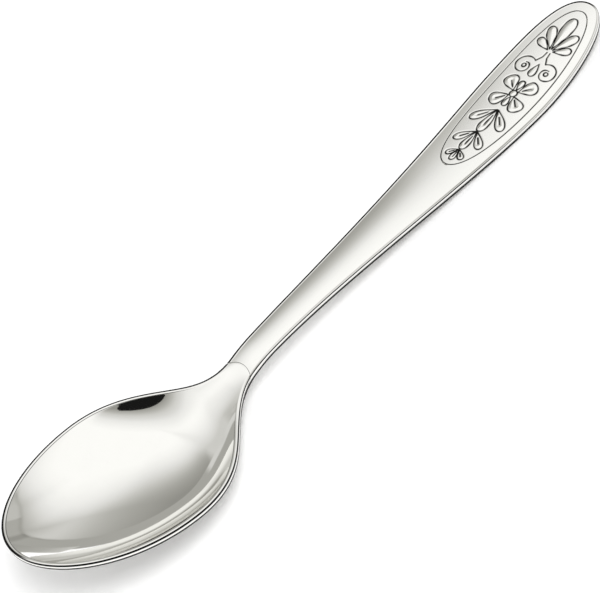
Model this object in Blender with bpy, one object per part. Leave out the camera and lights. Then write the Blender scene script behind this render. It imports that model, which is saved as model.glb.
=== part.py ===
"""Dessert spoon at rest on its bowl and handle: bowl, handle and ornament plate.

Metres, +Z up, +X from the bowl to the handle's end. Stations are measured from the bowl's tip.
"""
import bisect
import math

import bmesh
import bpy
from mathutils import Matrix, Vector
from mathutils.geometry import interpolate_bezier

OVERALL_LENGTH = 0.180
BOWL_LENGTH = 0.0632        # tip to the narrowest place of the neck
BOWL_WIDTH = 0.0404
BOWL_DEPTH = 0.0063         # rim to the dish's floor
BOWL_THICKNESS = 0.0014     # at the bottom of the bowl
DISH_FULLNESS = 0.5         # 0 is a plain parabola, more is a flatter floor with steeper walls
RIM_LIP = 0.0009            # flat band round the dish
EDGE_THICKNESS = 0.0013     # edge of bowl and neck
EDGE_ROUND = 0.0004
NECK_WIDTH = 0.0070
NECK_THICKNESS = 0.0032     # on the centre line
HANDLE_WIDTH = 0.0180
HANDLE_CROWN = 0.0006       # front bulges this much over its edges
TAIL_THICKNESS = 0.0016     # edge where the handle rests
TAIL_TURN_UP = 0.0027
REST_FLAT = 0.0001          # planed off where bowl and handle rest
JOINT_GAP = 0.0003          # filled by braze in the real spoon
BADGE_LENGTH = 0.0485
BADGE_MARGIN = 0.0026       # handle edge to badge edge
BADGE_THICKNESS = 0.0005
BADGE_SINK = 0.0001

# Places along the spoon, as shares of the lengths above.
HALF_BOWL = BOWL_WIDTH / 2
HALF_NECK = NECK_WIDTH / 2
HALF_HANDLE = HANDLE_WIDTH / 2
STEM_LENGTH = OVERALL_LENGTH - BOWL_LENGTH
BOWL_WIDEST = 0.484 * BOWL_LENGTH
TAIL_WIDEST = OVERALL_LENGTH - 0.227 * STEM_LENGTH
HEEL = 0.857 * BOWL_LENGTH
CREST = BOWL_LENGTH + 0.05 * STEM_LENGTH
REST = OVERALL_LENGTH - 0.257 * STEM_LENGTH
BOWL_RISE = BOWL_DEPTH + BOWL_THICKNESS


def bezier(segments, steps):
    """Points along joined cubic segments, each given as four (station, value) pairs."""
    points = []
    for knot, leave, arrive, end in segments:
        corners = [Vector((a, b, 0)) for a, b in (knot, leave, arrive, end)]
        run = interpolate_bezier(*corners, steps + 1)
        points += [(p.x, p.y) for p in run[:-1]]
    points.append(segments[-1][3])
    return points


def lookup(points, station, power=1):
    """The value at a station, read between points after raising values to a power."""
    stations = [p[0] for p in points]
    at = min(max(bisect.bisect(stations, station), 1), len(points) - 1)
    (s0, v0), (s1, v1) = points[at - 1], points[at]
    t = min(max((station - s0) / (s1 - s0), 0), 1)
    return ((1 - t) * v0**power + t * v1**power) ** (1 / power)


def smooth(t):
    t = min(max(t, 0), 1)
    return t * t * (3 - 2 * t)


OUTLINE = [
    ((0, 0), (0, 0.525 * HALF_BOWL), (0.47 * BOWL_WIDEST, HALF_BOWL), (BOWL_WIDEST, HALF_BOWL)),
    ((BOWL_WIDEST, HALF_BOWL), (0.763 * BOWL_LENGTH, HALF_BOWL),
     (0.814 * BOWL_LENGTH, HALF_NECK), (BOWL_LENGTH, HALF_NECK)),
    ((BOWL_LENGTH, HALF_NECK), (BOWL_LENGTH + 0.31 * STEM_LENGTH, HALF_NECK),
     (TAIL_WIDEST - 0.115 * STEM_LENGTH, HALF_HANDLE), (TAIL_WIDEST, HALF_HANDLE)),
    ((TAIL_WIDEST, HALF_HANDLE), (OVERALL_LENGTH - 0.094 * STEM_LENGTH, HALF_HANDLE),
     (OVERALL_LENGTH, 0.715 * HALF_HANDLE), (OVERALL_LENGTH, 0)),
]
WIDTHS = bezier(OUTLINE, 80)

# Side view of the front edge: the rim falls from the tip, rises over the neck and falls to the rest.
REST_HEIGHT = TAIL_THICKNESS - REST_FLAT
TAIL_HEIGHT = REST_HEIGHT + TAIL_TURN_UP
SIDE = [
    ((0, 2.08 * BOWL_RISE), (0.37 * HEEL, 1.19 * BOWL_RISE),
     (0.945 * HEEL, 0.53 * BOWL_RISE), (HEEL, 0.53 * BOWL_RISE)),
    ((HEEL, 0.53 * BOWL_RISE), (HEEL + 0.4 * (CREST - HEEL), 0.53 * BOWL_RISE),
     (CREST - 0.4 * (CREST - HEEL), 0.8 * BOWL_RISE), (CREST, 0.8 * BOWL_RISE)),
    ((CREST, 0.8 * BOWL_RISE), (CREST + 0.25 * (REST - CREST), 0.8 * BOWL_RISE),
     (REST - 0.37 * (REST - CREST), REST_HEIGHT), (REST, REST_HEIGHT)),
    ((REST, REST_HEIGHT), (REST + 0.4 * (OVERALL_LENGTH - REST), REST_HEIGHT),
     (OVERALL_LENGTH - 0.33 * (OVERALL_LENGTH - REST), TAIL_HEIGHT - 0.36 * TAIL_TURN_UP),
     (OVERALL_LENGTH, TAIL_HEIGHT)),
]
HEIGHTS = bezier(SIDE, 80)


def half_width(station):
    return lookup(WIDTHS, station, 2)


def edge_height(station):
    return lookup(HEIGHTS, station)


def tongue_start():
    """Centre of the half round that spans the neck with its gap and ends where the neck is narrowest."""
    low, high = BOWL_WIDEST, BOWL_LENGTH
    while high - low > 1e-7:
        station = (low + high) / 2
        if half_width(station) + JOINT_GAP > BOWL_LENGTH - station:
            high = station
        else:
            low = station
    return low


JOINT = tongue_start()
TONGUE_RADIUS = BOWL_LENGTH - JOINT


def dish_half_width(station):
    """Half the width of the dish inside its lip."""
    if station < BOWL_WIDEST:
        share = 1 - RIM_LIP / BOWL_WIDEST
        inner = BOWL_WIDEST + (station - BOWL_WIDEST) / share
        return half_width(inner) * (1 - RIM_LIP / HALF_BOWL) if inner > 0 else 0
    step = 0.0002
    slope = (half_width(station + step) - half_width(station - step)) / (2 * step)
    return max(half_width(station) - RIM_LIP * math.hypot(1, slope), 0)


def crown(station, y, most):
    width = half_width(station)
    return most * max(1 - (y / width) ** 2, 0) if width > 0 else 0


def dish(half, y, most_half, depth):
    """Depth of a full dish at y from its middle, where half is its half width there."""
    share = max(half**2 - y * y, 0) / most_half**2
    return depth * share * (1 + DISH_FULLNESS * (1 - share))


def front(station, y):
    """Height of the front: dish, tongue and crowned handle."""
    edge = edge_height(station)
    tongue_end = JOINT + math.sqrt(max(TONGUE_RADIUS**2 - y * y, 0))
    on_stem = smooth((station - tongue_end) / (0.7 * TONGUE_RADIUS) + 1)
    over = crown(station, y, HANDLE_CROWN * smooth((station - HEEL) / (CREST - HEEL)))
    under = dish(dish_half_width(station), y, HALF_BOWL - RIM_LIP, BOWL_DEPTH) if on_stem < 1 else 0
    return edge + on_stem * over - (1 - on_stem) * under


def back(station, y):
    """Height of the back: the bowl's shell, then a stem that flattens towards its rest."""
    edge = edge_height(station)
    shell = dish(half_width(station) - EDGE_ROUND, y, HALF_BOWL - EDGE_ROUND, BOWL_RISE - EDGE_THICKNESS)
    along = smooth((station - BOWL_LENGTH) / (REST - BOWL_LENGTH))
    rim = EDGE_THICKNESS + along * (TAIL_THICKNESS - EDGE_THICKNESS)
    bulge = (NECK_THICKNESS - EDGE_THICKNESS - HANDLE_CROWN) * (1 - along)
    heel_start = 0.8 * HEEL + 0.4 * BOWL_LENGTH * min(y / HALF_BOWL, 1) ** 2
    on_stem = smooth((station - heel_start) / (0.25 * BOWL_LENGTH))
    stem = crown(station, y, bulge)
    return edge - rim - shell * (1 - on_stem) - stem * on_stem


def closed(half):
    """A closed plan outline from the points of its half, from one end round to the other and back."""
    return half + [(s, -w) for s, w in reversed(half[1:-1])]


def inset(outline, by):
    """The outline moved inwards along its normals."""
    moved = []
    for i, (s, y) in enumerate(outline):
        before, after = outline[i - 1], outline[(i + 1) % len(outline)]
        along = Vector((after[0] - before[0], after[1] - before[1])).normalized()
        moved.append((s + along.y * by, y - along.x * by))
    return moved


def skin(name, outline, top, bottom, lip, edge, shares):
    """Mesh of a thin body over a plan outline: rings from the front's spine over the edge to the back's."""
    low = min(s for s, _ in outline)
    high = max(s for s, _ in outline)
    tail = max(y for _, y in outline[len(outline) // 4:])
    spine = [min(max(s, low + 0.6 * (BOWL_WIDEST if low == 0 else tail)), high - tail) for s, _ in outline]

    def inner(ring, share):
        return [(c + (s - c) * share, y * share) for (s, y), c in zip(ring, spine)]

    fillet = 1 - math.sqrt(0.5)
    band = inset(outline, lip)
    rings = [(inner(band, share), top, 0) for share in shares]
    for by, drop in ((edge, 0), (fillet * edge, fillet * edge), (0, edge)):
        rings.append((inset(outline, by), top, -drop))
    for by, lift in ((0, edge), (fillet * edge, fillet * edge), (edge, 0)):
        rings.append((inset(outline, by), bottom, lift))
    rings += [(inner(band, share), bottom, 0) for share in reversed(shares)]
    bm = bmesh.new()
    loops = [
        [bm.verts.new((s - OVERALL_LENGTH / 2, y, height(s, y) + shift)) for s, y in ring]
        for ring, height, shift in rings
    ]
    for one, two in zip(loops, loops[1:]):
        for i in range(len(one)):
            j = (i + 1) % len(one)
            bm.faces.new((one[i], one[j], two[j], two[i]))
    bmesh.ops.remove_doubles(bm, verts=bm.verts, dist=1e-6)
    bmesh.ops.triangulate(bm, faces=bm.faces)
    bmesh.ops.recalc_face_normals(bm, faces=bm.faces)
    mesh = bpy.data.meshes.new(name)
    bm.to_mesh(mesh)
    bm.free()
    return mesh


def collection(name):
    made = bpy.data.collections.new(name)
    bpy.context.scene.collection.children.link(made)
    return made


def material(name, colour, roughness):
    made = bpy.data.materials.new(name)
    made.use_nodes = True
    shader = made.node_tree.nodes["Principled BSDF"]
    shader.inputs["Base Color"].default_value = (*colour, 1)
    shader.inputs["Metallic"].default_value = 1
    shader.inputs["Roughness"].default_value = roughness
    return made


def part(name, mesh, finish):
    made = bpy.data.objects.new(name, mesh)
    made.data.materials.append(finish)
    SPOON.objects.link(made)
    return made


def cutter(name, mesh):
    made = bpy.data.objects.new(name, mesh)
    made.hide_render = True
    made.display_type = "WIRE"
    CUTTERS.objects.link(made)
    return made


def box(name, low, high):
    bm = bmesh.new()
    size = Vector(high) - Vector(low)
    place = Matrix.Translation((Vector(high) + Vector(low)) / 2) @ Matrix.Diagonal((*size, 1))
    bmesh.ops.create_cube(bm, size=1, matrix=place)
    mesh = bpy.data.meshes.new(name)
    bm.to_mesh(mesh)
    bm.free()
    return cutter(name, mesh)


def disc(name, radius, low, high):
    bm = bmesh.new()
    bmesh.ops.create_cone(
        bm, cap_ends=True, segments=40, radius1=radius, radius2=radius, depth=high - low,
        matrix=Matrix.Translation((0, 0, (high + low) / 2)),
    )
    mesh = bpy.data.meshes.new(name)
    bm.to_mesh(mesh)
    bm.free()
    return cutter(name, mesh)


def cut(target, tool):
    step = target.modifiers.new(tool.name, "BOOLEAN")
    step.operation = "DIFFERENCE"
    step.solver = "EXACT"
    step.object = tool


for old in list(bpy.data.objects):
    bpy.data.objects.remove(old, do_unlink=True)

SPOON = collection("dessert_spoon")
CUTTERS = collection("cutters")
CUTTERS.hide_render = True
STEEL = material("polished_steel", (0.80, 0.80, 0.78), 0.08)
RELIEF = material("struck_steel", (0.76, 0.76, 0.74), 0.18)

# One blank gives the bowl and the handle their flush faces.
blank_outline = closed(bezier(OUTLINE, 16))
blank = skin("blank", blank_outline, front, back, RIM_LIP, EDGE_ROUND, (0, 0.22, 0.44, 0.63, 0.79, 0.91, 1))
bowl = part("bowl", blank, STEEL)
handle = part("handle", blank.copy(), STEEL)

# Round half lap at the neck, in a frame that follows the neck's slope: the bowl keeps the upper
# half of a round lug, the handle the lower half.
def middle(station):
    return (front(station, 0) + back(station, 0)) / 2


slope = math.atan2(middle(BOWL_LENGTH) - middle(JOINT - TONGUE_RADIUS), 2 * TONGUE_RADIUS)
neck_place = Matrix.Translation((JOINT - OVERALL_LENGTH / 2, 0, middle(JOINT)))
neck_frame = neck_place @ Matrix.Rotation(-slope, 4, "Y")
half_gap = JOINT_GAP / 2
far = OVERALL_LENGTH
beyond_bowl = box("beyond_bowl", (-half_gap, -BOWL_WIDTH, -far), (far, BOWL_WIDTH, far))
beyond_handle = box("beyond_handle", (-far, -BOWL_WIDTH, -far), (half_gap, BOWL_WIDTH, far))
lug = disc("lug", TONGUE_RADIUS, -2 * far, 2 * far)
under_tongue = disc("under_tongue", TONGUE_RADIUS + JOINT_GAP, -far, half_gap)
over_heel = disc("over_heel", TONGUE_RADIUS + JOINT_GAP, -half_gap, far)
for tool in (beyond_bowl, beyond_handle, lug, under_tongue, over_heel):
    tool.matrix_world = neck_frame
cut(beyond_bowl, lug)
cut(beyond_handle, lug)
cut(bowl, beyond_bowl)
cut(bowl, under_tongue)
cut(handle, beyond_handle)
cut(handle, over_heel)

# Ornament plate in its pocket, both following the handle's crowned front.
badge_end = OVERALL_LENGTH - 1.1 * BADGE_MARGIN
badge_start = badge_end - BADGE_LENGTH
badge_half = HALF_HANDLE - BADGE_MARGIN
badge_tail = badge_end - TAIL_WIDEST
badge_run = TAIL_WIDEST - badge_start
BADGE = [
    ((badge_start, 0), (badge_start, 0.72 * badge_half),
     (TAIL_WIDEST - 0.54 * badge_run, badge_half), (TAIL_WIDEST, badge_half)),
    ((TAIL_WIDEST, badge_half), (TAIL_WIDEST + 0.56 * badge_tail, badge_half),
     (badge_end, 0.68 * badge_half), (badge_end, 0)),
]
badge_outline = closed(bezier(BADGE, 14))


def badge_top(station, y):
    return front(station, y) - BADGE_SINK


def badge_floor(station, y):
    return badge_top(station, y) - BADGE_THICKNESS


def pocket_top(station, y):
    return front(station, y) + 4 * TAIL_THICKNESS


def pocket_floor(station, y):
    return badge_floor(station, y) - JOINT_GAP


plate_round = BADGE_THICKNESS / 4
badge = part(
    "badge",
    skin("badge", badge_outline, badge_top, badge_floor, plate_round, plate_round / 2, (0, 0.5, 1)),
    RELIEF,
)
pocket = cutter(
    "badge_pocket",
    skin("badge_pocket", inset(badge_outline, -JOINT_GAP), pocket_top, pocket_floor,
         plate_round, plate_round / 2, (0, 0.5, 1)),
)
cut(handle, pocket)

# Small flats where the spoon rests.
table = box("table", (-far, -BOWL_WIDTH, -far), (far, BOWL_WIDTH, 0))
cut(bowl, table)
cut(handle, table)
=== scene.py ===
import math

import bmesh
import bpy
import numpy as np
from mathutils import Matrix, Vector
from mathutils.kdtree import KDTree


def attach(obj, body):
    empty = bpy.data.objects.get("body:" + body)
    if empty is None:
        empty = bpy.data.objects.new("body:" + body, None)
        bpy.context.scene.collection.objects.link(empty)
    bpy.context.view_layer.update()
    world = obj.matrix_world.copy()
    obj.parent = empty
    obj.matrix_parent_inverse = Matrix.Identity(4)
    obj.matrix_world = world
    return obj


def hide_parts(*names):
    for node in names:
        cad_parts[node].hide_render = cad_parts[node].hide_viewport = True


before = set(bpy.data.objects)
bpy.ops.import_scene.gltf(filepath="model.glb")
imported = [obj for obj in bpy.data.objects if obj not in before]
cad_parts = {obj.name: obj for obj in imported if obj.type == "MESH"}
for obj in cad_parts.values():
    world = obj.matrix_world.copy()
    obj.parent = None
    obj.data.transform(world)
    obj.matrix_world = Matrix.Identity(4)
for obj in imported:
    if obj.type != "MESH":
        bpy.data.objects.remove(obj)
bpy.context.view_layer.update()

# Sizes of the part's source, in millimetres. Stations run from the bowl's tip.
LENGTH = 180.0
BOWL_LENGTH = 63.2
BOWL_WIDTH = 40.4
BOWL_DEPTH = 6.3
BOWL_THICKNESS = 1.4
DISH_FULLNESS = 0.5
RIM_LIP = 0.9
EDGE_THICKNESS = 1.3
NECK_WIDTH = 7.0
NECK_THICKNESS = 3.2
HANDLE_WIDTH = 18.0
HANDLE_CROWN = 0.6
TAIL_THICKNESS = 1.6
TAIL_TURN_UP = 2.7
REST_FLAT = 0.1
JOINT_GAP = 0.3
BADGE_LENGTH = 48.5
BADGE_MARGIN = 2.6

HALF_BOWL = BOWL_WIDTH / 2
HALF_NECK = NECK_WIDTH / 2
HALF_HANDLE = HANDLE_WIDTH / 2
STEM = LENGTH - BOWL_LENGTH
BOWL_WIDEST = 0.484 * BOWL_LENGTH
TAIL_WIDEST = LENGTH - 0.227 * STEM
HEEL = 0.857 * BOWL_LENGTH
CREST = BOWL_LENGTH + 0.05 * STEM
REST = LENGTH - 0.257 * STEM
BOWL_RISE = BOWL_DEPTH + BOWL_THICKNESS

# Finer sizes that only the looks have.
TOP_ROUND = 0.2             # break between the front and the edge
BACK_ROUND = 0.3            # break between the edge and the back
PAINTED_EDGE_LINE = 0.28            # painted dark reflection on the front along the far edge
LIP_FILLET = 0.05           # softness of the crease inside the lip
LIP_CROWN = 0.08            # height of the lip's round
CROWN_SHARE = 0.06          # the stem's crown over half its width
CROWN_FALL = 0.024          # that share is this much lower at the badge
EDGE_FLAT = 0.7             # band along the handle's edges that leans outwards
EDGE_LEAN = 0.15            # slope of that band beside the badge
STEM_LEAN = 0.3             # share of that slope on the stem
FLARE = 105.0               # station where crown and lean start to change
SEAM_GAP = 0.05
SEAM_ROUND = 0.07
BADGE_GAP = 0.18
BADGE_ROUND = 0.1
BADGE_PROUD = 0.02
POCKET_DEPTH = 0.5
MM = 0.001


def bezier(segments, steps=500):
    """Points along joined cubic segments, each given as four (station, value) pairs."""
    t = np.linspace(0, 1, steps + 1)[:, None]
    runs = []
    for segment in segments:
        a, b, c, d = (np.array(p, float) for p in segment)
        run = (1 - t) ** 3 * a + 3 * (1 - t) ** 2 * t * b + 3 * (1 - t) * t**2 * c + t**3 * d
        runs.append(run[:-1])
    return np.concatenate(runs + [np.array([segments[-1][3]], float)])


def ease(t):
    t = np.clip(t, 0, 1)
    return t * t * t * (t * (6 * t - 15) + 10)


OUTLINE = bezier([
    ((0, 0), (0, 0.525 * HALF_BOWL), (0.47 * BOWL_WIDEST, HALF_BOWL), (BOWL_WIDEST, HALF_BOWL)),
    ((BOWL_WIDEST, HALF_BOWL), (0.763 * BOWL_LENGTH, HALF_BOWL),
     (0.814 * BOWL_LENGTH, HALF_NECK), (BOWL_LENGTH, HALF_NECK)),
    ((BOWL_LENGTH, HALF_NECK), (BOWL_LENGTH + 0.31 * STEM, HALF_NECK),
     (TAIL_WIDEST - 0.115 * STEM, HALF_HANDLE), (TAIL_WIDEST, HALF_HANDLE)),
    ((TAIL_WIDEST, HALF_HANDLE), (LENGTH - 0.094 * STEM, HALF_HANDLE),
     (LENGTH, 0.715 * HALF_HANDLE), (LENGTH, 0)),
])
REST_HEIGHT = TAIL_THICKNESS - REST_FLAT
TAIL_HEIGHT = REST_HEIGHT + TAIL_TURN_UP
SIDE = bezier([
    ((0, 2.08 * BOWL_RISE), (0.37 * HEEL, 1.19 * BOWL_RISE),
     (0.945 * HEEL, 0.53 * BOWL_RISE), (HEEL, 0.53 * BOWL_RISE)),
    ((HEEL, 0.53 * BOWL_RISE), (HEEL + 0.4 * (CREST - HEEL), 0.53 * BOWL_RISE),
     (CREST - 0.4 * (CREST - HEEL), 0.8 * BOWL_RISE), (CREST, 0.8 * BOWL_RISE)),
    ((CREST, 0.8 * BOWL_RISE), (CREST + 0.25 * (REST - CREST), 0.8 * BOWL_RISE),
     (REST - 0.37 * (REST - CREST), REST_HEIGHT), (REST, REST_HEIGHT)),
    ((REST, REST_HEIGHT), (REST + 0.4 * (LENGTH - REST), REST_HEIGHT),
     (LENGTH - 0.33 * (LENGTH - REST), TAIL_HEIGHT - 0.36 * TAIL_TURN_UP), (LENGTH, TAIL_HEIGHT)),
])

# Tables along the spoon, smoothed so that reflections run on without a kink.
STEP = 0.05
STATIONS = np.arange(-12, LENGTH + 12, STEP)


def extended(points):
    """Values at the table's stations, carried on straight past both ends."""
    s, v = points[:, 0], points[:, 1]
    values = np.interp(STATIONS, s, v)
    reach = 0.5
    first = (np.interp(s[0] + reach, s, v) - v[0]) / reach
    last = (v[-1] - np.interp(s[-1] - reach, s, v)) / reach
    values += first * np.minimum(STATIONS - s[0], 0)
    values += last * np.maximum(STATIONS - s[-1], 0)
    return values


def smoothed(values, width):
    """The table after a Gaussian of this width in millimetres."""
    half = int(4 * width / STEP)
    bell = np.exp(-0.5 * (np.arange(-half, half + 1) * STEP / width) ** 2)
    start = values[0] + (values[1] - values[0]) * np.arange(-half, 0)
    end = values[-1] + (values[-1] - values[-2]) * np.arange(1, half + 1)
    return np.convolve(np.concatenate([start, values, end]), bell / bell.sum(), "valid")


def look(table, s):
    return np.interp(s, STATIONS, table)


def half_width(s):
    return np.sqrt(np.interp(s, OUTLINE[:, 0], OUTLINE[:, 1] ** 2))


SQUARES = extended(np.column_stack([OUTLINE[:, 0], OUTLINE[:, 1] ** 2]))
EDGE = smoothed(extended(SIDE), 1.5)
OUTER = smoothed(SQUARES, 1.2)


def dish_squares():
    """Square of the dish's half width inside the lip, below zero past the tip."""
    share = 1 - RIM_LIP / BOWL_WIDEST
    inner = BOWL_WIDEST + (STATIONS - BOWL_WIDEST) / share
    before = look(SQUARES, inner) * (1 - RIM_LIP / HALF_BOWL) ** 2
    width = half_width(np.clip(STATIONS, 0, LENGTH))
    slope = np.gradient(width, STEP)
    after = np.maximum(width - RIM_LIP * np.hypot(1, slope), 0) ** 2
    return np.where(STATIONS < BOWL_WIDEST, before, after)


DISH = smoothed(dish_squares(), 1.4)
DISH_SLOPE = np.gradient(DISH, STEP)


def tongue_start():
    """Centre of the half round that spans the neck and ends where the neck is narrowest."""
    low, high = BOWL_WIDEST, BOWL_LENGTH
    while high - low > 1e-6:
        station = (low + high) / 2
        if half_width(station) + JOINT_GAP > BOWL_LENGTH - station:
            high = station
        else:
            low = station
    return low


JOINT = tongue_start()
TONGUE = BOWL_LENGTH - JOINT


def full_dish(squares, y, most_half, depth):
    """Depth of the dish at y from its middle, where the square of its half width is given."""
    share = (squares - y * y) / most_half**2
    return depth * share * (1 + DISH_FULLNESS * (1 - share))


def crown(s, y):
    """The handle's crown inside its leaning edge, lower towards the badge."""
    half = np.where(s < TAIL_WIDEST, np.maximum(half_width(s), HALF_NECK), HALF_HANDLE)
    rise = half * (CROWN_SHARE - CROWN_FALL * ease((s - FLARE) / 25))
    inside = np.maximum(np.maximum(look(OUTER, s), 0) ** 0.5 - EDGE_FLAT, 0)
    bulge = np.clip((inside**2 - y * y) / (half - EDGE_FLAT) ** 2, 0, 1)
    lean = EDGE_LEAN * (STEM_LEAN + (1 - STEM_LEAN) * ease((s - FLARE) / 30))
    edge = lean * np.clip(inside + EDGE_FLAT - np.abs(y), 0, EDGE_FLAT)
    return (rise * bulge - edge) * ease((s - HEEL) / (BOWL_LENGTH - HEEL))


def front(s, y):
    """Height of the front: dish with its lip, tongue and crowned handle."""
    tongue_end = JOINT + np.sqrt(np.maximum(TONGUE**2 - y * y, 0))
    on_stem = np.clip((s - tongue_end) / TONGUE + 1, 0, 1) ** 2
    inside = look(DISH, s) - y * y
    soft = LIP_FILLET * np.hypot(look(DISH_SLOPE, s), 2 * y)
    squares = 0.5 * (inside + np.hypot(inside, soft)) + y * y
    under = full_dish(squares, y, HALF_BOWL - RIM_LIP, BOWL_DEPTH)
    return look(EDGE, s) + on_stem * crown(s, y) - (1 - on_stem) * under


def back(s, y):
    """Height of the back: the bowl's shell, then a stem that flattens towards its rest."""
    squares = np.maximum(look(OUTER, s), y * y)
    shell = full_dish(squares, y, HALF_BOWL, BOWL_RISE - EDGE_THICKNESS)
    along = ease((s - BOWL_LENGTH) / (REST - BOWL_LENGTH))
    rim = EDGE_THICKNESS + along * (TAIL_THICKNESS - EDGE_THICKNESS)
    bulge = (NECK_THICKNESS - EDGE_THICKNESS - HANDLE_CROWN) * (1 - along)
    heel_start = 0.8 * HEEL + 0.4 * BOWL_LENGTH * (y / HALF_BOWL) ** 2
    on_stem = ease((s - heel_start) / (0.25 * BOWL_LENGTH))
    stem = bulge * np.clip(1 - (y / np.maximum(half_width(s), HALF_NECK)) ** 2, 0, 1)
    height = look(EDGE, s) - rim - shell * (1 - on_stem) - stem * on_stem
    return 0.5 * (height + np.hypot(height, 0.03))


def seam(share, radius, side):
    """Station of the round seam at a share of the half width. Side is 1 towards the handle."""
    share = np.abs(np.asarray(share, float))
    low = np.full(share.shape, 0.0)
    high = np.full(share.shape, radius)
    for _ in range(50):
        middle = (low + high) / 2
        outside = middle**2 + (share * half_width(JOINT + side * middle)) ** 2 > radius**2
        high = np.where(outside, middle, high)
        low = np.where(outside, low, middle)
    return JOINT + side * (low + high) / 2


def middle_height(s):
    """The lap's middle plane at the neck."""
    ends = np.array([JOINT - TONGUE, JOINT, BOWL_LENGTH])
    middles = (front(ends, 0 * ends) + back(ends, 0 * ends)) / 2
    slope = (middles[2] - middles[0]) / (2 * TONGUE)
    return middles[1] + slope * (s - JOINT)


def resampled(points, count):
    """Points at even steps along a path."""
    run = np.concatenate([[0], np.cumsum(np.hypot(*np.diff(points, axis=0).T))])
    at = run[-1] * np.linspace(0, 1, count)
    return np.column_stack([np.interp(at, run, points[:, 0]), np.interp(at, run, points[:, 1])])


def inward(half, way):
    """Inward normals of a half outline that ends on the centre line."""
    along = np.gradient(half, axis=0)
    along[-1] = (0, -1)
    along /= np.hypot(*along.T)[:, None]
    return way * np.column_stack([along[:, 1], -along[:, 0]])


def both_sides(half):
    """A half ring of (s, y, z) points with its mirror image, from one seam end round to the other."""
    mirrored = half[-2::-1] * (1, -1, 1)
    return np.concatenate([half, mirrored])


class Shell:
    """Collects points with their darkness, and faces, welds them and makes an object."""

    def __init__(self):
        self.points = []
        self.faces = []
        self.tones = []
        self.count = 0

    def add(self, ring, tone=0.0):
        at = np.arange(self.count, self.count + len(ring))
        self.points.append(np.asarray(ring, float))
        self.tones.append(np.broadcast_to(np.asarray(tone, float), len(ring)))
        self.count += len(ring)
        return at

    def strip(self, one, two, close=False):
        a, b = one[:-1], one[1:]
        c, d = two[1:], two[:-1]
        if close:
            a, b = one, np.roll(one, -1)
            c, d = np.roll(two, -1), two
        self.faces.append(np.column_stack([a, b, c, d]))

    def make(self, name, finish):
        points = np.concatenate(self.points) * MM
        points[:, 0] -= LENGTH / 2 * MM
        mesh = bpy.data.meshes.new(name)
        mesh.from_pydata(points.tolist(), [], np.concatenate(self.faces).tolist())
        layer = mesh.attributes.new("tone", "FLOAT", "POINT")
        layer.data.foreach_set("value", np.concatenate(self.tones).astype(np.float32))
        bm = bmesh.new()
        bm.from_mesh(mesh)
        bmesh.ops.remove_doubles(bm, verts=bm.verts, dist=2e-7)
        bmesh.ops.dissolve_degenerate(bm, edges=bm.edges, dist=1e-8)
        bmesh.ops.recalc_face_normals(bm, faces=bm.faces)
        for face in bm.faces:
            face.smooth = True
        bm.to_mesh(mesh)
        bm.free()
        mesh.materials.append(finish)
        made = bpy.data.objects.new(name, mesh)
        bpy.context.scene.collection.objects.link(made)
        return made


ARC = np.radians(np.linspace(0, 90, 7))[1:]
LIP_STEPS = (0.3, 0.34, 0.38, 0.46, 0.54, 0.62, 0.66, 0.7, 0.74, 0.8, 0.87, 0.95, 1.05, 1.2, 1.4)
LIP_OFFSETS = TOP_ROUND + np.array([0, PAINTED_EDGE_LINE, *LIP_STEPS])
BACK_OFFSETS = BACK_ROUND + np.array([0, 0.1, 0.25, 0.45, 0.7, 1.0, 1.4])
SEAM_REACH = 14.0


def half_outline(seam_station, end, count):
    """Half the plan outline from the seam to the tip or the tail."""
    low, high = min(seam_station, end), max(seam_station, end)
    inner = OUTLINE[(OUTLINE[:, 0] > low) & (OUTLINE[:, 0] < high)]
    ends = [(seam_station, half_width(seam_station)), (end, 0.0)]
    run = inner if end > seam_station else inner[::-1]
    return resampled(np.concatenate([[ends[0]], run, [ends[1]]]), count)


def half_rings(half, way, offsets, shares, inner, seam_station):
    """Half rings from the outline to its inner path: first at set distances, then in shares."""
    normal = inward(half, way)
    near = ease(np.abs(half[:, 0] - seam_station) / 3)
    normal[:, 0] *= near
    normal[:, 1] = -np.sqrt(np.maximum(1 - normal[:, 0] ** 2, 0))
    rings = [half + normal * by for by in offsets]
    band = rings[-1]
    rings += [band + (inner - band) * share for share in shares]
    for ring in rings:
        ring[-1, 1] = 0
    return rings


def to_seam(ring, seam_station, radius, side):
    """Shifts a ring along the spoon so that its end lies on the round seam."""
    s, y = ring[:, 0], ring[:, 1]
    share = np.clip(y / np.maximum(half_width(s), 1e-6), 0, 1)
    move = (seam(share, radius, side) - seam_station) * ease(1 - np.abs(s - seam_station) / SEAM_REACH)
    moved = s + move
    return np.column_stack([moved, np.where(np.abs(move) > 1e-9, share * half_width(moved), y)])


def with_height(ring, height):
    return np.column_stack([ring, height(ring[:, 0], ring[:, 1])])


def boundary(rings):
    """Loop of point numbers round a sheet: its outline, then its seam row over the inner path and back."""
    right = [ring[-1] for ring in rings[1:]]
    left = [ring[0] for ring in rings[-2:0:-1]]
    return np.concatenate([rings[0], right, left])


def rolled(row, by):
    """A ring of the front at this distance from the edge, with the round of the bowl's lip on it."""
    ring = with_height(row, front)
    share = min(by / RIM_LIP, 1)
    ring[:, 2] += 4 * LIP_CROWN * share * (1 - share) * ease((HEEL + 2 - row[:, 0]) / 10)
    return ring


def spine(half, tip):
    """Inner path of a sheet: the centre line, short of its rounded end."""
    if tip < BOWL_LENGTH:
        stations = np.maximum(half[:, 0], tip + 0.6 * BOWL_WIDEST)
    else:
        stations = np.minimum(half[:, 0], tip - 0.8 * HALF_HANDLE)
    return np.column_stack([stations, 0 * stations])


def seam_row(points, radius, grow, height):
    """Points of the round seam moved out from its centre, at the given heights."""
    centre = np.array([JOINT, 0.0])
    out = centre + (points - centre) * ((radius + grow) / radius)
    return np.column_stack([out, height])


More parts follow.
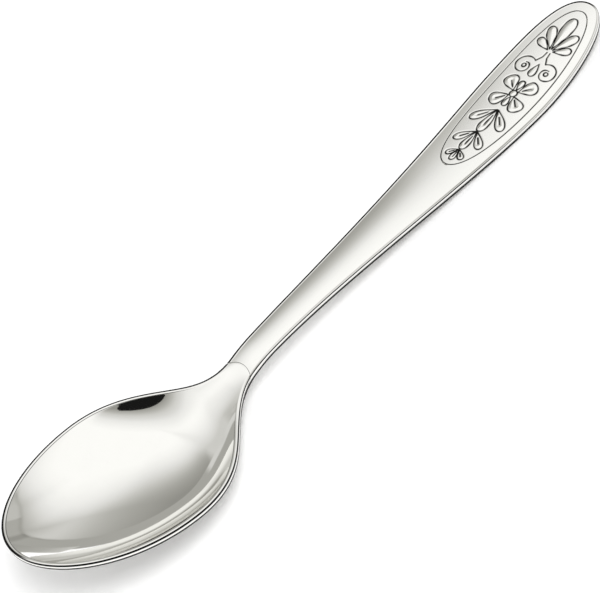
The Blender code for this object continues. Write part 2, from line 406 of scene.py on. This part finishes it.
def lap_foot(points, radius, grow, lift):
    """Points of the round seam moved out from its centre, beside the lap's middle plane."""
    foot = seam_row(points, radius, grow, 0 * points[:, 0])
    foot[:, 2] = middle_height(foot[:, 0]) + lift
    return foot


# Darkness of the painted shade lines: in the crease inside the lip, low on the edge, and round the badge.
CREASE_SHADE = 0.85
LOW_SHADE_DARKNESS = 0.9
BADGE_EDGE_SHADE = 0.4


def lapped_shell(way, tip, count, front_rows, front_radius, back_radius, lap_lift, pocket=None):
    """A closed shell from its seam to the tip or tail: front sheet, edge or lap, back sheet."""
    front_side, back_side = 1, -1
    bulge = -way
    front_at = float(seam(1.0, front_radius, front_side))
    back_at = float(seam(1.0, back_radius, back_side))
    shell = Shell()

    half = half_outline(front_at, tip, count)
    shift = (back_at - front_at) * ease(1 - np.abs(half[:, 0] - front_at) / SEAM_REACH)
    shifted = half[:, 0] + shift
    back_half = np.column_stack([shifted, np.where(shift == 0, half[:, 1], half_width(shifted))])
    inner = pocket["path"](half) if pocket else spine(half, tip)
    shares = np.linspace(0, 1, front_rows + 1)[1:] ** 0.9
    rows = half_rings(half, way, LIP_OFFSETS, shares, inner, front_at)
    rows = [to_seam(row, front_at, front_radius, front_side) for row in rows]

    # Where the edge's painted shade and painted reflection lines change: 1 on the side at -Y, on the bowl,
    # and on that side of the tail.
    around = both_sides(np.column_stack([half, 0 * half[:, 0]]))
    near_side = ease(-around[:, 1] / 4)
    on_bowl = ease((HEEL + 6 - around[:, 0]) / 10)
    on_tail = near_side * ease((around[:, 0] - 125) / 25)

    sheet = []
    for row, by in zip(rows, [*LIP_OFFSETS, *shares + LIP_OFFSETS[-1]]):
        ring = both_sides(rolled(row, by))
        # Painted dark reflection: a dark band on the front along the far edge, none on the near side.
        tone = (1 - near_side) * float(by <= TOP_ROUND + PAINTED_EDGE_LINE)
        # Painted shade in the crease inside the bowl's lip.
        if abs(by - RIM_LIP) < 0.05:
            tone = CREASE_SHADE * ease((HEEL + 2 - ring[:, 0]) / 8)
        sheet.append(shell.add(ring, tone))
    back_shares = np.linspace(0, 1, front_rows + len(LIP_OFFSETS) - len(BACK_OFFSETS) + 1)[1:]
    back_rings = half_rings(back_half, way, BACK_OFFSETS, back_shares, spine(back_half, tip), back_at)
    back_rings = [to_seam(row, back_at, back_radius, back_side) for row in back_rings]
    under = [shell.add(both_sides(with_height(row, back))) for row in back_rings]
    for rings in (sheet, under):
        for one, two in zip(rings, rings[1:]):
            shell.strip(one, two)

    # Edge and lap, level by level from the front's boundary to the back's.
    normal = inward(half, way)
    back_normal = inward(back_half, way)
    top_edge = rolled(rows[0], TOP_ROUND)[:, 2]
    low_edge = with_height(back_rings[0], back)[:, 2]
    front_seam = np.array([row[0] for row in rows])
    back_seam = np.array([row[0] for row in back_rings])
    front_top = front(*front_seam.T)
    back_low = back(*back_seam.T)
    levels = []
    # Painted dark reflection on the top round of the edge, lighter on the near side of the tail; its last
    # step is dark only on the bowl's near side.
    for angle in ARC:
        inset, drop = TOP_ROUND * (1 - math.sin(angle)), TOP_ROUND * (1 - math.cos(angle))
        edge = np.column_stack([half + normal * inset, top_edge - drop])
        lap = seam_row(front_seam, front_radius, bulge * SEAM_ROUND * math.sin(angle),
                       front_top - SEAM_ROUND * (1 - math.cos(angle)))
        levels.append((edge, lap, 1 - 0.6 * on_tail if angle < 1.4 else near_side * on_bowl))
    upper = levels[-1][0]
    lower_height = low_edge + BACK_ROUND
    front_foot = lap_foot(front_seam, front_radius, bulge * SEAM_ROUND, lap_lift)
    back_foot = lap_foot(back_seam, back_radius, -bulge * SEAM_ROUND, lap_lift)
    across = back_foot - front_foot
    # Painted shade low on the edge: the lower wall on the stem and tail, the last wall step everywhere, and
    # high on the wall at the bowl's near side.
    low_shade = (LOW_SHADE_DARKNESS + (1 - LOW_SHADE_DARKNESS) * on_tail) * (1 - on_bowl)
    walls = ((0.2, front_foot + [0, 0, 0.03], near_side * on_bowl), (0.27, front_foot, 0.0),
             (0.45, front_foot + 0.4 * across, 0.0), (0.52, front_foot + 0.7 * across, low_shade),
             (0.66, back_foot, low_shade), (0.71, back_foot + [0, 0, -0.01 * bulge], 1.0))
    for share, lap, tone in walls:
        plan = half + (back_half - half) * share
        plan[:, 1] = np.where(shift == 0, plan[:, 1], half_width(plan[:, 0]))
        edge = np.column_stack([plan, upper[:, 2] + (lower_height - upper[:, 2]) * share])
        levels.append((edge, lap, tone))
    # Painted shade on the half of the back's round next to the wall.
    for angle in ARC[::-1]:
        inset, lift = BACK_ROUND * (1 - math.sin(angle)), BACK_ROUND * (1 - math.cos(angle))
        edge = np.column_stack([back_half + back_normal * inset, low_edge + lift])
        lap = seam_row(back_seam, back_radius, -bulge * SEAM_ROUND * math.sin(angle),
                       back_low + SEAM_ROUND * (1 - math.cos(angle)))
        levels.append((edge, lap, float(angle > 0.7)))
    before = boundary(sheet)
    for edge, lap, tone in levels:
        edge[-1, 1] = 0
        side = lap[1:]
        loop = np.concatenate([both_sides(edge), side * (1, -1, 1), side[-2::-1]])
        shade = np.zeros(len(loop))
        shade[:2 * len(edge) - 1] = tone
        after = shell.add(loop, shade)
        shell.strip(before, after, close=True)
        before = after
    shell.strip(before, boundary(under), close=True)
    if pocket:
        pocket["fill"](shell, sheet[-1], inner)
    return shell


# Badge outline, as in the source.
BADGE_END = LENGTH - 1.1 * BADGE_MARGIN
BADGE_START = BADGE_END - BADGE_LENGTH
BADGE_HALF = HALF_HANDLE - BADGE_MARGIN
BADGE_TAIL = BADGE_END - TAIL_WIDEST
BADGE_RUN = TAIL_WIDEST - BADGE_START
BADGE = bezier([
    ((BADGE_START, 0), (BADGE_START, 0.72 * BADGE_HALF),
     (TAIL_WIDEST - 0.54 * BADGE_RUN, BADGE_HALF), (TAIL_WIDEST, BADGE_HALF)),
    ((TAIL_WIDEST, BADGE_HALF), (TAIL_WIDEST + 0.56 * BADGE_TAIL, BADGE_HALF),
     (BADGE_END, 0.68 * BADGE_HALF), (BADGE_END, 0)),
])


def badge_contour(by, count):
    """Half the badge's outline moved outwards, from its start to its end."""
    half = resampled(BADGE, count)
    along = np.gradient(half, axis=0)
    along[0], along[-1] = (0, 1), (0, -1)
    along /= np.hypot(*along.T)[:, None]
    moved = half + by * np.column_stack([-along[:, 1], along[:, 0]])
    moved[0, 1] = moved[-1, 1] = 0
    return moved


POCKET_EDGE = BADGE_GAP / 2 + BADGE_ROUND


def pocket_path(half):
    """Inner path of the handle's front: the centre line, then round the badge's pocket to its far end."""
    contour = badge_contour(POCKET_EDGE, 600)
    start = contour[0, 0]
    first = int(np.searchsorted(half[:, 0], start - 4))
    join = int(np.searchsorted(half[:, 0], start + 0.5))
    path = np.column_stack([half[:, 0], 0 * half[:, 0]])
    path[first:join + 1, 0] = np.linspace(half[first, 0], start, join + 1 - first)
    path[join:] = resampled(contour, len(half) - join)
    return path


def pocket_fill(shell, ring, inner):
    """Rounded edge, wall and floor of the badge's pocket."""
    join = int(np.argmax(inner[:, 0] >= badge_contour(POCKET_EDGE, 600)[0, 0] - 1e-9))
    loop = ring[join:len(ring) - 1 - join]
    half = inner[join:]
    count = len(half)
    before = loop
    top = front(*half.T)
    for angle in ARC:
        plan = badge_contour(POCKET_EDGE - BADGE_ROUND * math.sin(angle), count)
        points = np.column_stack([plan, top - BADGE_ROUND * (1 - math.cos(angle))])
        after = shell.add(both_sides(points)[:-1])
        shell.strip(before, after, close=True)
        before = after
    floor = badge_contour(POCKET_EDGE - BADGE_ROUND, count)
    middle = np.column_stack([np.clip(floor[:, 0], BADGE_START + 6, BADGE_END - 6), 0 * floor[:, 0]])
    for share in (0, 0.35, 0.7, 1):
        plan = floor + (middle - floor) * share
        points = np.column_stack([plan, front(*plan.T) - POCKET_DEPTH])
        after = shell.add(both_sides(points)[:-1])
        shell.strip(before, after, close=True)
        before = after


# Materials.
# Dark lines: painted shade and painted dark reflections on the edges, patina in the badge's grooves.
SHADE_AND_PATINA_COLOUR = (0.012, 0.012, 0.011, 1)
SHADE_AND_PATINA_ROUGHNESS = 0.42


def node(tree, kind, place, **values):
    """A node of the tree with its sockets or settings given by name."""
    made = tree.nodes.new(kind)
    made.location = place
    for key, value in values.items():
        if key in made.inputs:
            made.inputs[key].default_value = value
        else:
            setattr(made, key, value)
    return made


def metal(name, colour, roughness, stretch, relief):
    """Polished metal with fine marks, a slight change of gloss, and dark lines where its tone is 1: painted
    shade and painted dark reflections on the edges and the lip's crease, patina in the badge's grooves.
    """
    made = bpy.data.materials.new(name)
    made.use_nodes = True
    tree = made.node_tree
    shader = tree.nodes["Principled BSDF"]
    shader.inputs["Metallic"].default_value = 1
    place = node(tree, "ShaderNodeTexCoord", (-1400, 0))
    drawn = node(tree, "ShaderNodeMapping", (-1200, -200))
    drawn.inputs["Scale"].default_value = stretch
    marks = node(tree, "ShaderNodeTexNoise", (-1000, -200), Scale=1.0, Detail=5.0, Roughness=0.65)
    clouds = node(tree, "ShaderNodeTexNoise", (-1000, 200), Scale=70.0, Detail=3.0)
    gloss = node(tree, "ShaderNodeMapRange", (-700, 0))
    for socket, value in (("From Min", 0.3), ("From Max", 0.7), ("To Min", 0.75 * roughness),
                          ("To Max", 1.3 * roughness)):
        gloss.inputs[socket].default_value = value
    tint = node(tree, "ShaderNodeMix", (-700, 300), data_type="RGBA")
    tint.inputs["A"].default_value = (*[0.97 * c for c in colour], 1)
    tint.inputs["B"].default_value = (*colour, 1)
    tone = node(tree, "ShaderNodeAttribute", (-700, -400), attribute_name="tone")
    line = node(tree, "ShaderNodeMix", (-400, 300), data_type="RGBA")
    line.inputs["B"].default_value = SHADE_AND_PATINA_COLOUR
    dull = node(tree, "ShaderNodeMix", (-400, 0))
    dull.inputs["B"].default_value = SHADE_AND_PATINA_ROUGHNESS
    bump = node(tree, "ShaderNodeBump", (-400, -300), Strength=relief, Distance=0.0001)
    links = tree.links
    links.new(place.outputs["Object"], drawn.inputs["Vector"])
    links.new(place.outputs["Object"], clouds.inputs["Vector"])
    links.new(drawn.outputs["Vector"], marks.inputs["Vector"])
    links.new(clouds.outputs["Fac"], gloss.inputs["Value"])
    links.new(marks.outputs["Fac"], tint.inputs["Factor"])
    links.new(tint.outputs["Result"], line.inputs["A"])
    links.new(gloss.outputs["Result"], dull.inputs["A"])
    links.new(tone.outputs["Fac"], line.inputs["Factor"])
    links.new(tone.outputs["Fac"], dull.inputs["Factor"])
    links.new(marks.outputs["Fac"], bump.inputs["Height"])
    links.new(line.outputs["Result"], shader.inputs["Base Color"])
    links.new(dull.outputs["Result"], shader.inputs["Roughness"])
    links.new(bump.outputs["Normal"], shader.inputs["Normal"])
    return made


STEEL = (0.90, 0.895, 0.87)
BOWL_METAL = metal("polished_bowl", STEEL, 0.04, (260, 260, 260), 0.01)
HANDLE_METAL = metal("polished_handle", STEEL, 0.08, (45, 1100, 1100), 0.012)
BADGE_METAL = metal("struck_badge", STEEL, 0.15, (500, 500, 500), 0.03)


# The pieces.
BOWL_TONGUE = TONGUE + (JOINT_GAP - SEAM_GAP) / 2
HANDLE_TONGUE = BOWL_TONGUE + SEAM_GAP
bowl_shell = lapped_shell(
    -1, 0.0, 230, 46, BOWL_TONGUE - SEAM_ROUND, HANDLE_TONGUE + SEAM_ROUND, SEAM_GAP / 2,
)
bowl = bowl_shell.make("spoon_bowl", BOWL_METAL)
handle_shell = lapped_shell(
    1, LENGTH, 330, 34, HANDLE_TONGUE + SEAM_ROUND, BOWL_TONGUE - SEAM_ROUND, -SEAM_GAP / 2,
    {"path": pocket_path, "fill": pocket_fill},
)
handle = handle_shell.make("spoon_handle", HANDLE_METAL)


# Ornament of the badge: a palmette over two scrolls, a flower of four petals and a chain of husks.
def teardrop(base, degrees, length, width):
    """A closed drop from its point at the base."""
    t = np.linspace(0, 2 * math.pi, 73)
    along = length * (1 - np.cos(t)) / 2
    across = width * np.sin(t) * np.sin(t / 2) ** 1.3
    turn = math.radians(degrees)
    return np.column_stack([
        base[0] + along * math.cos(turn) - across * math.sin(turn),
        base[1] + along * math.sin(turn) + across * math.cos(turn),
    ])


def spiral(centre, first, last, start, sweep):
    """A spiral, or a circle where both radii are the same."""
    share = np.linspace(0, 1, 120)
    turn = np.radians(start + sweep * share)
    radius = first + (last - first) * share
    return np.column_stack([centre[0] + radius * np.cos(turn), centre[1] + radius * np.sin(turn)])


def out_from(base, degrees, by):
    return base[0] + by * math.cos(math.radians(degrees)), base[1] + by * math.sin(math.radians(degrees))


def ornament():
    """Closed shapes and open lines on the badge's plan, the same on both sides of its middle."""
    root, flower = (164.9, 0.0), (152.0, 0.0)
    shapes = [teardrop(out_from(root, 0, 0.9), 0, 9.0, 2.1), teardrop((161.2, 0), 180, 3.6, 1.2)]
    shapes.append(spiral(flower, 0.9, 0.9, 0, 360))
    lines = []
    for base, length in ((146.6, 7.0), (139.3, 5.7), (133.3, 3.2)):
        shapes.append(teardrop((base, 0), 180, length, 0.45 + 0.16 * length))
        lines.append(np.array([(base - 0.25 * length, 0), (base - 0.7 * length, 0)]))
        for side in (1, -1):
            turn = 180 - side * 42
            shapes.append(teardrop((base, side * 0.25), turn, 0.9 * length, 0.5 + 0.15 * length))
            lines.append(np.array([out_from((base, side * 0.25), turn, by * length) for by in (0.3, 0.62)]))
    for side in (1, -1):
        for degrees, length in ((31, 6.3), (64, 4.2)):
            turn = side * degrees
            shapes.append(teardrop(out_from(root, turn, 0.9), turn, length, 0.75 + 0.14 * length))
        hub = (159.6, side * 3.15)
        curl = spiral(hub, 2.75, 1.0, side * -38, side * 400)
        lines.append(np.concatenate([[(164.6, side * 0.4), (163.2, side * 0.6)], curl]))
        shapes.append(spiral(hub, 0.5, 0.5, 0, 360))
        for degrees in (45, 135):
            turn = side * degrees
            shapes.append(teardrop(out_from(flower, turn, 1.05), turn, 4.5, 2.4))
            lines.append(np.array([out_from(flower, turn, 2.0), out_from(flower, turn, 4.0)]))
        shapes.append(teardrop(out_from(flower, 90 - side * 90, 1.05), 90 - side * 90, 2.8, 1.0))
    return shapes, lines


SHAPES, LINES = ornament()
drawn_lines = np.concatenate([resampled(run, int(np.hypot(*np.diff(run, axis=0).T).sum() / 0.03) + 2)
                              for run in SHAPES + LINES])
NEAREST = KDTree(len(drawn_lines))
for number, (line_s, line_y) in enumerate(drawn_lines):
    NEAREST.insert((line_s, line_y, 0), number)
NEAREST.balance()


def within(points, shape):
    """Which of the points lie inside a closed shape."""
    inside = np.zeros(len(points), bool)
    near = np.all((points >= shape.min(0)) & (points <= shape.max(0)), axis=1)
    x, y = points[near, 0][:, None], points[near, 1][:, None]
    (x0, y0), (x1, y1) = shape[:-1].T, shape[1:].T
    crosses = (y0 > y) != (y1 > y)
    with np.errstate(divide="ignore", invalid="ignore"):
        left = x < (x1 - x0) * (y - y0) / (y1 - y0) + x0
    inside[near] = (crosses & left).sum(1) % 2 == 1
    return inside


PILLOW_HEIGHT, PILLOW_RANGE = 0.16, 0.75
GROOVE_DEPTH, GROOVE_RANGE = 0.11, 0.17
LINE_REACH, LINE_BLUR, LINE_WAVER = 0.225, 0.13, 0.04


def struck(plan):
    """Height of the struck relief and darkness of its lines at points of the plan."""
    distance = np.array([NEAREST.find((s, y, 0))[2] for s, y in plan])
    raised = np.zeros(len(plan), bool)
    for shape in SHAPES:
        raised |= within(plan, shape)
    height = np.where(raised, PILLOW_HEIGHT * (1 - np.exp(-((distance / PILLOW_RANGE) ** 2))), 0)
    height -= GROOVE_DEPTH * np.exp(-((distance / GROOVE_RANGE) ** 2))
    uneven = LINE_WAVER * np.sin(1.9 * plan[:, 0] + 2.3 * plan[:, 1])
    return height, ease((LINE_REACH + uneven - distance) / LINE_BLUR)


def mirrored(values):
    """Values of a half ring carried on round its mirror image, as a closed ring has them."""
    return np.concatenate([values, values[-2::-1]])[:-1]


def badge_shell():
    """The badge: struck front, rounded edge and plain back."""
    shell = Shell()
    count, rows = 520, 66
    edge = badge_contour(-BADGE_GAP / 2, count)
    inner = badge_contour(-BADGE_GAP / 2 - BADGE_ROUND, count)
    middle = np.column_stack([np.clip(inner[:, 0], BADGE_START + 5, BADGE_END - 5), 0 * inner[:, 0]])
    rings = []
    for share in np.linspace(1, 0, rows):
        plan = inner + (middle - inner) * share
        relief, tone = struck(plan)
        points = np.column_stack([plan, front(*plan.T) + BADGE_PROUD + relief])
        rings.append(shell.add(both_sides(points)[:-1], mirrored(tone)))
    height = front(*inner.T) + BADGE_PROUD
    for angle in ARC:
        plan = badge_contour(-BADGE_GAP / 2 - BADGE_ROUND * (1 - math.sin(angle)), count)
        points = np.column_stack([plan, height - BADGE_ROUND * (1 - math.cos(angle))])
        # Painted shade on the badge's rounded edge, beside its gap to the pocket.
        rings.append(shell.add(both_sides(points)[:-1], BADGE_EDGE_SHADE))
    for share in (0, 0.5, 1):
        plan = edge + (middle - edge) * share
        points = np.column_stack([plan, front(*plan.T) - POCKET_DEPTH + 0.1])
        rings.append(shell.add(both_sides(points)[:-1]))
    for one, two in zip(rings, rings[1:]):
        shell.strip(one, two, close=True)
    return shell


badge = badge_shell().make("spoon_badge", BADGE_METAL)

for piece, cad_node, slot in ((bowl, "bowl", "bowl_metal"), (handle, "handle", "handle_metal"),
                              (badge, "badge", "badge_metal")):
    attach(piece, "root")
    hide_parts(cad_node)


# Camera at the photograph's viewing angle.
TURN = math.radians(29.339)
ELEVATION = math.radians(47.495)
ROLL = math.radians(24.097)
FOCAL_PIXELS = 2832.47
PHOTO_WIDTH = 600
DISTANCE = 0.600
AIM = Vector((0, 0, -0.00045))
OFFSET_RIGHT, OFFSET_UP = 0.007013, 0.00053

level = Vector((math.cos(TURN), -math.sin(TURN), 0))
away = Vector((math.sin(TURN), math.cos(TURN), 0))
rise = away * math.sin(ELEVATION) + Vector((0, 0, math.cos(ELEVATION)))
ahead = away * math.cos(ELEVATION) - Vector((0, 0, math.sin(ELEVATION)))
right = level * math.cos(ROLL) - rise * math.sin(ROLL)
up = level * math.sin(ROLL) + rise * math.cos(ROLL)
eye = AIM - DISTANCE * ahead - OFFSET_RIGHT * right - OFFSET_UP * up
lens = bpy.data.cameras.new("camera")
lens.sensor_fit = "HORIZONTAL"
lens.sensor_width = 36
lens.lens = FOCAL_PIXELS * 36 / PHOTO_WIDTH
lens.clip_start = 0.01
camera = bpy.data.objects.new("camera", lens)
turned = Matrix((right, up, -ahead)).transposed().to_4x4()
camera.matrix_world = Matrix.Translation(eye) @ turned
bpy.context.scene.collection.objects.link(camera)
bpy.context.scene.camera = camera

# Studio: white paper on the table, and a soft dome with a dark opening that only reflections see.
scene = bpy.context.scene
scene.view_settings.view_transform = "Standard"
world = bpy.data.worlds.new("studio")
world.use_nodes = True
world.node_tree.nodes["Background"].inputs["Color"].default_value = (1, 1, 1, 1)
world.node_tree.nodes["Background"].inputs["Strength"].default_value = 0.92
scene.world = world


def staged(name, points, faces, finish):
    """A mesh of the studio, which is no piece of the spoon."""
    mesh = bpy.data.meshes.new(name)
    mesh.from_pydata([tuple(map(float, p)) for p in points], [], [tuple(map(int, f)) for f in faces])
    mesh.materials.append(finish)
    made = bpy.data.objects.new(name, mesh)
    scene.collection.objects.link(made)
    return made


def only_reflected(card):
    card.visible_camera = False
    card.visible_diffuse = False
    card.visible_shadow = False


def paper(name, colour):
    made = bpy.data.materials.new(name)
    made.use_nodes = True
    shader = made.node_tree.nodes["Principled BSDF"]
    shader.inputs["Base Color"].default_value = (*colour, 1)
    shader.inputs["Roughness"].default_value = 1
    shader.inputs["Specular IOR Level"].default_value = 0
    return made


FLOOR_HALF = 4.0
floor_plan = [(x * FLOOR_HALF, y * FLOOR_HALF, -0.0001) for x, y in ((-1, -1), (1, -1), (1, 1), (-1, 1))]
staged("floor", floor_plan, [(0, 1, 2, 3)], paper("studio_floor", (0.94, 0.94, 0.94)))

# The dome's brightness by azimuth and elevation in degrees. Along the azimuth: its step on the scale of
# greys at the pivot's elevation, how fast the step rises with elevation, and its least. The foot of the
# dome is a row of plain panels up to the elevations given.
DOME_CENTRE = np.array([-0.045, 0.0, 0.0])
DOME_RADIUS = 1.1
OPENING_EDGE = np.array([-0.25, -0.38])
OPENING_WAY = np.array([-0.925, -0.38])
OPENING_ALONG = np.array([-OPENING_WAY[1], OPENING_WAY[0]])
GLOW_TURNS = (-180, -20, -5, 3, 12, 24, 33, 38, 43, 50, 57, 66, 80, 85, 88, 93, 98, 106, 180)
GLOW_MIDDLE = (28, 24, 20, 17, 19, 16, 14, 12, 9.8, 4.2, 2, 0.8, 0.7, 1.2, 3, 4.2, 7.5, 13, 28)
GLOW_PACE = (1, 1, 1, 1, 1, 0.72, 0.85, 0.9, 1.15, 1.1, 1.1, 1.1, 1, 0.95, 0.65, 0.3, 0.45, 0.4, 1)
GLOW_LEAST = (-30, -30, -30, -30, -14, -4, 1.5, 0.9, -2.3, -7, -14, -30, -30, -12, 1.3, 1.2, 1, 1, -30)
GLOW_PIVOT = 40
GREY_STEPS = (-21, -17, -13, -10, -7, -4, -2, 0, 3, 6, 10, 16, 22)
GREYS = (0.315, 0.335, 0.365, 0.395, 0.435, 0.50, 0.56, 0.625, 0.74, 0.84, 0.95, 1.05, 1.10)
FOOT_TURNS = (-180, -10, 0, 5, 11, 14, 17, 22, 28, 33, 37, 44, 50, 57, 64, 79, 88, 93, 100, 112, 180)
FOOT = (5, 21, 20, 20, 18, 17, 15, 11.5, 9.5, 10, 10.5, 12, 13, 14.5, 16, 22, 22.5, 20, 14, 6, 5)
FOOT_BLUR = 0.9
PANEL_TURNS = (-20, -5, 2, 12, 13, 24.5, 25.5, 28, 30, 95, 110)
PANEL_GREYS = (0.6, 0.5, 0.57, 0.57, 0.445, 0.445, 0.33, 0.33, 0.42, 0.42, 0.6)
FALL_REACH = (0, 0.03, 0.06, 0.09, 0.12, 0.15, 0.2, 0.28, 0.4, 0.5)
FALL = (0.30, 0.36, 0.42, 0.48, 0.56, 0.63, 0.70, 0.84, 0.94, 1.0)
ROOM_GREY = 0.02


def turned_level(azimuth, turns, levels):
    """A level along the azimuth, smoothed over a few degrees."""
    return sum(np.interp(azimuth + by, turns, levels) for by in (-2, 0, 2)) / 3


def dome_light(azimuth, elevation):
    """Brightness of the dome: white overhead, grey low down, a panelled foot, dark towards the camera."""
    middle, pace, least = (turned_level(azimuth, GLOW_TURNS, levels)
                           for levels in (GLOW_MIDDLE, GLOW_PACE, GLOW_LEAST))
    grey = np.interp(np.maximum(middle + pace * (elevation - GLOW_PIVOT), least), GREY_STEPS, GREYS)

    foot = turned_level(azimuth, FOOT_TURNS, FOOT)
    sheen = ease((azimuth - 78) / 7) * ease((97 - azimuth) / 6) * ease((elevation - foot + 7.5) / 1.5)
    panel = np.interp(azimuth, PANEL_TURNS, PANEL_GREYS) + 0.28 * sheen
    grey = panel + (grey - panel) * ease((elevation - foot) / FOOT_BLUR + 0.5)
    grey = grey - 0.08 * np.exp(-(((elevation - foot) / FOOT_BLUR) ** 2)) * ease((44 - azimuth) / 10)

    # Falls off towards the opening, as seen on a level plane overhead.
    turn, tilt = np.radians(azimuth), np.radians(np.maximum(elevation, 3))
    overhead = np.column_stack([np.cos(turn), np.sin(turn)]) / np.tan(tilt)[:, None]
    clear = -(overhead - OPENING_EDGE) @ OPENING_WAY
    along = (overhead - OPENING_EDGE) @ OPENING_ALONG
    fall = np.interp(clear, FALL_REACH, FALL)
    grey = grey * (1 - (1 - fall) * ease((0.9 - np.abs(along)) / 0.4))

    # The room behind the camera.
    behind = (azimuth + 240) % 360
    reach = 40 + 14 * ease((behind - 50) / 30) * ease((130 - behind) / 25)
    room = ease(behind / 50) * ease((210 - behind) / 70) * ease((reach - elevation) / 14)
    return grey + (ROOM_GREY - grey) * room


def glowing(name, tone):
    """Glow from a tone in the mesh, warmer where it is dark, or black."""
    made = bpy.data.materials.new(name)
    made.use_nodes = True
    tree = made.node_tree
    tree.nodes.clear()
    out = node(tree, "ShaderNodeOutputMaterial", (400, 0))
    glow = node(tree, "ShaderNodeEmission", (200, 0))
    if tone:
        shade = node(tree, "ShaderNodeAttribute", (0, 0), attribute_name=tone)
        bright = node(tree, "ShaderNodeMapRange", (-200, -200))
        bright.inputs["From Min"].default_value = 0.35
        bright.inputs["From Max"].default_value = 0.85
        warmth = node(tree, "ShaderNodeMix", (0, -200), data_type="RGBA")
        warmth.inputs["A"].default_value = (1, 0.992, 0.925, 1)
        warmth.inputs["B"].default_value = (1, 1, 0.988, 1)
        tree.links.new(shade.outputs["Fac"], glow.inputs["Strength"])
        tree.links.new(shade.outputs["Fac"], bright.inputs["Value"])
        tree.links.new(bright.outputs["Result"], warmth.inputs["Factor"])
        tree.links.new(warmth.outputs["Result"], glow.inputs["Color"])
    else:
        glow.inputs["Strength"].default_value = 0.01
    tree.links.new(glow.outputs[0], out.inputs["Surface"])
    return made


def lit(card, tone):
    """Gives a card its glow, point by point, for reflections alone."""
    layer = card.data.attributes.new("glow", "FLOAT", "POINT")
    layer.data.foreach_set("value", tone.astype(np.float32))
    only_reflected(card)


dome_turns, dome_tilts = np.arange(-180, 180, 1.0), np.arange(0, 90.1, 0.75)
grid_turn, grid_tilt = (grid.ravel() for grid in np.meshgrid(dome_turns, dome_tilts))
flat_turn, flat_tilt = np.radians(grid_turn), np.radians(grid_tilt)
dome_points = DOME_CENTRE + DOME_RADIUS * np.column_stack([
    np.cos(flat_tilt) * np.cos(flat_turn), np.cos(flat_tilt) * np.sin(flat_turn), np.sin(flat_tilt)])
dome_ring = np.arange(len(dome_turns))
dome_faces = []
for row in range(len(dome_tilts) - 1):
    low_ring = dome_ring + row * len(dome_ring)
    high_ring = low_ring + len(dome_ring)
    dome_faces += zip(low_ring, np.roll(low_ring, -1), np.roll(high_ring, -1), high_ring)
dome = staged("dome", dome_points, dome_faces, glowing("studio_dome", "glow"))
lit(dome, dome_light(grid_turn, grid_tilt))

# Dark edge of the opening, above the bowl. Points run along the edge and away from it.
CARD_HEIGHT = 0.6
CARD_FROM = np.array([-0.0455, 0.013, 0.005])
CARD_SHAPE = ((-0.4, 0.05), (-0.13, 0.0), (0.1, -0.02), (0.3, -0.025), (0.35, 0.0), (0.375, 0.04),
              (0.385, 0.9), (-0.4, 0.9))
card_plan = [OPENING_EDGE + a * OPENING_ALONG + b * OPENING_WAY for a, b in CARD_SHAPE]
card_points = [CARD_FROM + CARD_HEIGHT * np.array([p[0], p[1], 1.0]) for p in card_plan]
card = staged("opening", card_points, [tuple(range(len(card_points)))], glowing("studio_opening", None))
only_reflected(card)

# Low grey step on the floor beyond the handle, which the bowl mirrors.
LOW_STEP_CENTRE = np.array([-0.088, -0.005, 0.0])
LOW_STEP_RADIUS = 0.16
LOW_STEP_HEIGHT = 0.0163
step_turns = np.linspace(29, 45, 21)
step_angles = np.radians(step_turns)
step_ring = np.column_stack([np.cos(step_angles), np.sin(step_angles), 0 * step_angles])
step_foot = LOW_STEP_CENTRE + LOW_STEP_RADIUS * step_ring
step_points = np.concatenate([step_foot, step_foot + [0, 0, LOW_STEP_HEIGHT]])
step_count = len(step_turns)
step_faces = [(k, k + 1, k + 1 + step_count, k + step_count) for k in range(step_count - 1)]
step = staged("step", step_points, step_faces, glowing("studio_step", "glow"))
lit(step, np.tile(np.interp(step_turns, (29, 36, 41, 45), (0.37, 0.4, 0.46, 0.62)), 2))

# Soft key lamp overhead.
KEY_PLACE = (-0.04, -0.32, 0.947)
KEY_SIZE = 0.57
KEY_ENERGY = 4.2
lamp = bpy.data.lights.new("key", "AREA")
lamp.shape = "DISK"
lamp.size = KEY_SIZE
lamp.energy = KEY_ENERGY
key = bpy.data.objects.new("key", lamp)
key.location = KEY_PLACE
key.rotation_euler = (Vector((0, 0, 0)) - key.location).to_track_quat("-Z", "Y").to_euler()
key.visible_glossy = False
scene.collection.objects.link(key)
